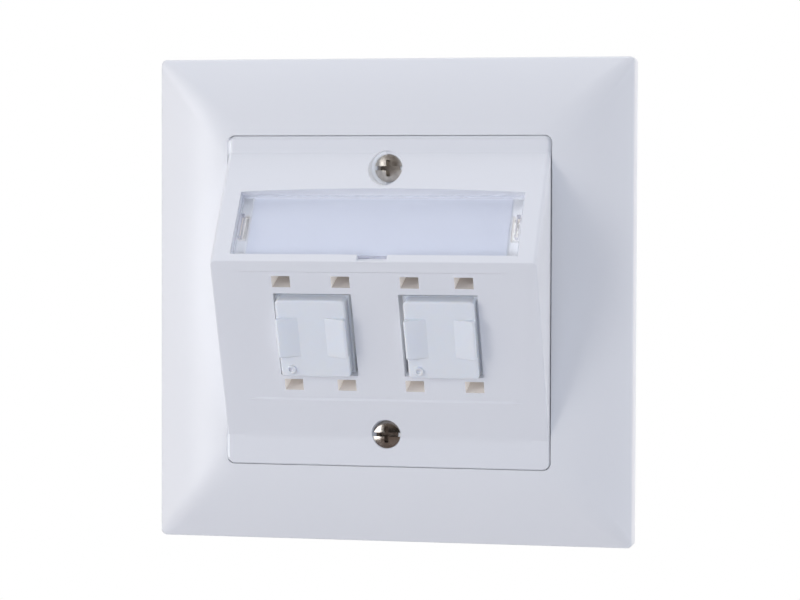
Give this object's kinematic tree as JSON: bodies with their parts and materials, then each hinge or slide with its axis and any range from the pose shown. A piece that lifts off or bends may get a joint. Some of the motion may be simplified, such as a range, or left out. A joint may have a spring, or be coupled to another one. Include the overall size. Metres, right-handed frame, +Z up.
{
  "type": "keystone faceplate",
  "caption": "Square flush wall outlet plate with a raised sloping hood, angled module ports closed by dust caps, a clear label window and a bowed cover frame.",
  "frame": {"origin": "centre of the cover frame in the plane of the wall", "axes": "+Z up, the front looks toward -Y, the wall box lies toward +Y, +X is to the right seen from the front"},
  "size_m": [0.081, 0.0232, 0.081],
  "materials": {
    "frame_plastic": "smooth satin-gloss white",
    "plate_plastic": "smooth satin-gloss white",
    "clear_plastic": "clear polished",
    "card": "plain blank card",
    "cap_plastic": "slightly translucent white",
    "screw_steel": "nickel plated",
    "ring_steel": "zinc plated sheet"
  },
  "bodies": {
    "outlet": {"cover_frame": "frame_plastic", "centre_plate": "plate_plastic", "label_card": "card", "plate_screw_upper": "screw_steel", "plate_screw_lower": "screw_steel", "support_ring": "ring_steel"},
    "window": {"label_window": "clear_plastic"},
    "cap_left": {"dust_cap_left": "cap_plastic"},
    "cap_right": {"dust_cap_right": "cap_plastic"}
  },
  "joints": [
    {"name": "cap_left_pull", "type": "slide", "parent": "outlet", "child": "cap_left", "axis": [0, -0.9247, -0.3806], "range_m": [0, 0.013]},
    {"name": "cap_right_pull", "type": "slide", "parent": "outlet", "child": "cap_right", "axis": [0, -0.9247, -0.3806], "range_m": [0, 0.013]},
    {"name": "window_pull", "type": "slide", "parent": "outlet", "child": "window", "axis": [0, -0.827, 0.5622], "range_m": [0, 0.008]}
  ]
}
